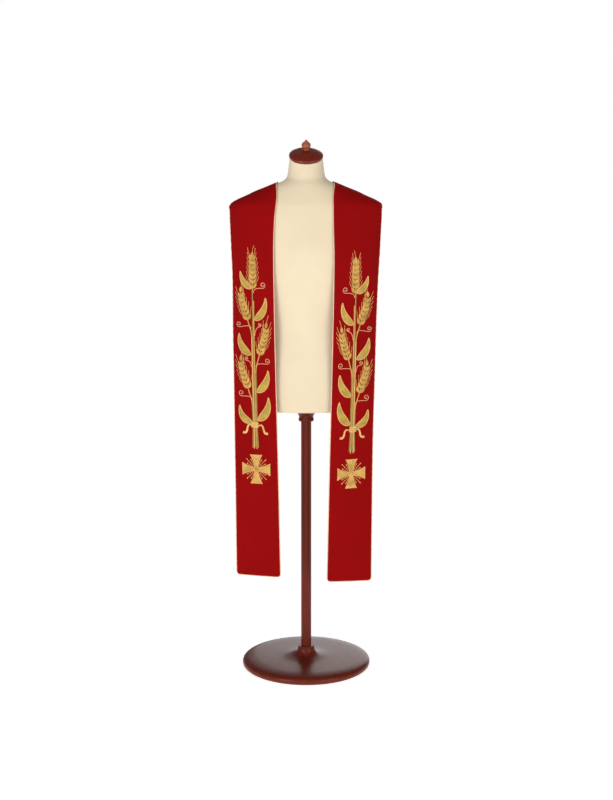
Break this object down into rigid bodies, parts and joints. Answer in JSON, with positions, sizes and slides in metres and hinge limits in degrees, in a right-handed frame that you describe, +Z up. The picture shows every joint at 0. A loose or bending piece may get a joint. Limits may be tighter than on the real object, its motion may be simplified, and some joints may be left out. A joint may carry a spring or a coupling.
{
  "type": "clerical stole on a dress form",
  "caption": "Red clerical stole with gold piping and applied crosses, worn by a limbless dress form on a turned wooden stand.",
  "frame": {"origin": "on the floor, at the centre of the stand's base", "axes": "+Z up; the stole's front faces -Y; +X is to the right of someone who looks at its front"},
  "size_m": [0.4615, 0.4, 1.6303],
  "materials": {
    "red_cloth": "matt, fine twill",
    "gold_cord": "soft metallic sheen",
    "gold_thread": "satin stitch, soft metallic sheen",
    "cream_jersey": "matt, fine knit",
    "mahogany": "polished varnish"
  },
  "bodies": {
    "root": {"band_left": "red_cloth", "band_right": "red_cloth", "piping_left": "gold_cord", "piping_right": "gold_cord", "cross_left": "gold_thread", "cross_right": "gold_thread", "form_torso": "cream_jersey", "neck_cap": "mahogany", "finial": "mahogany", "stand_base": "mahogany", "stand_pole": "mahogany", "stand_collar": "mahogany"}
  },
  "joints": []
}
